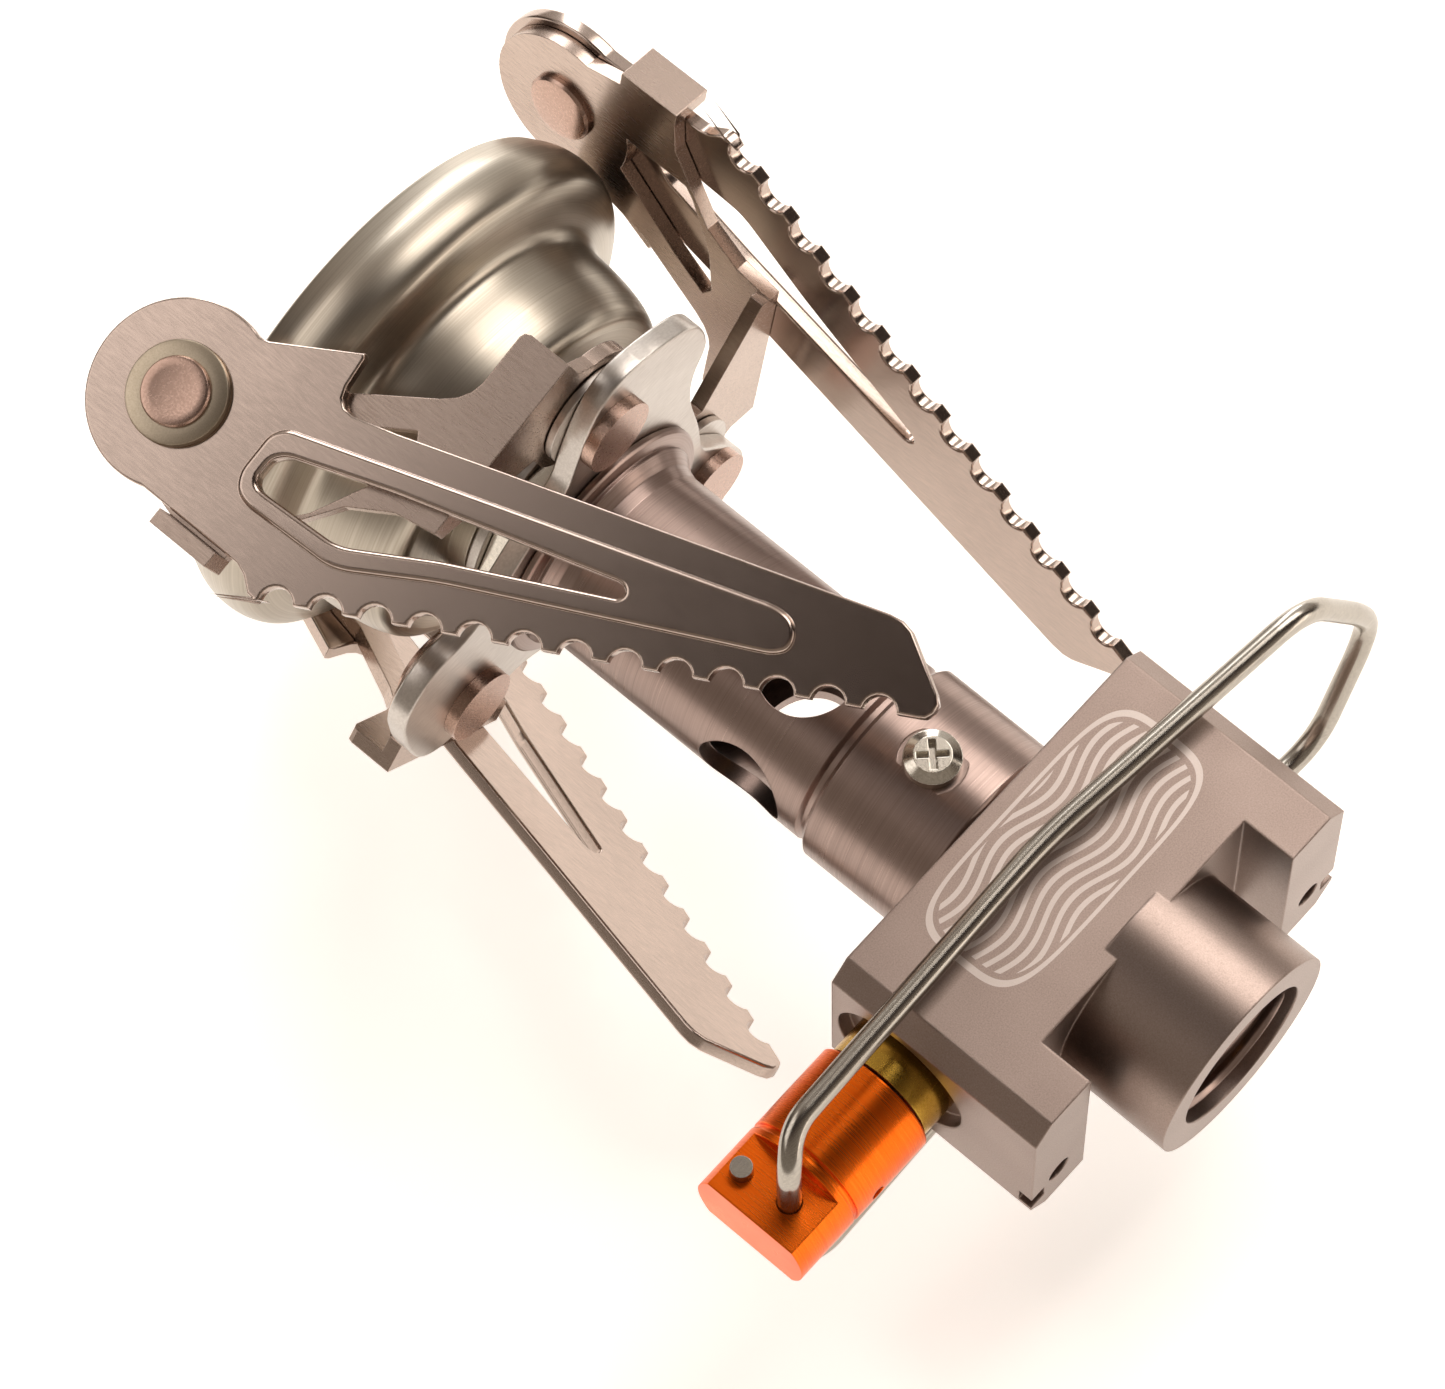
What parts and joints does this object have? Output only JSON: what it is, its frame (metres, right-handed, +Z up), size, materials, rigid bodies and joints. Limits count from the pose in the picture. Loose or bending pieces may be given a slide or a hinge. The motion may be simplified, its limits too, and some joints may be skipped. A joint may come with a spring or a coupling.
{
  "type": "folding canister camping stove",
  "caption": "Screw-on canister camping stove with an anodised valve block, bell burner, folding serrated pot supports, control knob and folding wire bail.",
  "frame": {"origin": "centre of the canister socket mouth", "axes": "+Z up the stove axis to the burner, -Y is the engraved front face, -X points out along the control knob"},
  "size_m": [0.0556, 0.0473, 0.0782],
  "materials": {
    "anodised": "brown-grey anodised, fine satin",
    "orange_anodised": "bright orange anodised",
    "burner_steel": "turned satin stainless",
    "arm_steel": "tumbled polished stainless sheet",
    "wire_steel": "drawn stainless wire",
    "bright_steel": "turned steel",
    "nickel": "nickel plated",
    "brass": "turned brass",
    "nitrile": "matt black"
  },
  "bodies": {
    "stove_body": {"valve_body": "anodised", "socket_oring": "nitrile", "depressor_pin": "brass", "inlet_filter": "brass", "jet": "brass", "jet_oring": "nitrile", "gland_nut": "brass", "spindle_oring": "nitrile", "mixing_tube": "anodised", "tube_screws": "nickel", "hub_plate": "arm_steel", "lock_nut": "arm_steel", "spring_washer": "arm_steel", "burner_bowl": "burner_steel", "burner_cap": "burner_steel", "burner_gauze": "burner_steel", "cap_rivet": "burner_steel", "hub_rivets": "arm_steel", "hub_washers": "arm_steel"},
    "knob": {"control_knob": "orange_anodised", "needle_spindle": "bright_steel", "knob_pin": "bright_steel", "bail_stub": "wire_steel"},
    "bail": {"wire_bail": "wire_steel"},
    "arm_link_1": {"link_1": "arm_steel", "blade_rivet_1": "arm_steel"},
    "support_blade_1": {"blade_1": "arm_steel"},
    "arm_link_2": {"link_2": "arm_steel", "blade_rivet_2": "arm_steel"},
    "support_blade_2": {"blade_2": "arm_steel"},
    "arm_link_3": {"link_3": "arm_steel", "blade_rivet_3": "arm_steel"},
    "support_blade_3": {"blade_3": "arm_steel"}
  },
  "joints": [
    {"name": "knob_turn", "type": "hinge", "parent": "stove_body", "child": "knob", "pos_m": [-0.02, 0, 0.0149], "axis": [-1, 0, 0], "range_deg": [-23, 9]},
    {"name": "bail_fold", "type": "hinge", "parent": "knob", "child": "bail", "pos_m": [-0.02555, 0, 0.0138], "axis": [0, 1, 0], "range_deg": [0, 180]},
    {"name": "link_1_swing", "type": "hinge", "parent": "stove_body", "child": "arm_link_1", "pos_m": [0.00181, -0.0127, 0.0522], "axis": [0, 0, 1], "range_deg": [0, 144]},
    {"name": "blade_1_fold", "type": "hinge", "parent": "arm_link_1", "child": "support_blade_1", "pos_m": [-0.01461, -0.01609, 0.0722], "axis": [-0.3074, -0.9516, 0], "range_deg": [0, 240]},
    {"name": "link_2_swing", "type": "hinge", "parent": "stove_body", "child": "arm_link_2", "pos_m": [0.0101, 0.00792, 0.0522], "axis": [0, 0, 1], "range_deg": [0, 144]},
    {"name": "blade_2_fold", "type": "hinge", "parent": "arm_link_2", "child": "support_blade_2", "pos_m": [0.02124, -0.00461, 0.0722], "axis": [0.9778, 0.2096, 0], "range_deg": [0, 240]},
    {"name": "link_3_swing", "type": "hinge", "parent": "stove_body", "child": "arm_link_3", "pos_m": [-0.0119, 0.00479, 0.0522], "axis": [0, 0, 1], "range_deg": [0, 144]},
    {"name": "blade_3_fold", "type": "hinge", "parent": "arm_link_3", "child": "support_blade_3", "pos_m": [-0.00663, 0.0207, 0.0722], "axis": [-0.6704, 0.742, 0], "range_deg": [0, 240]}
  ]
}
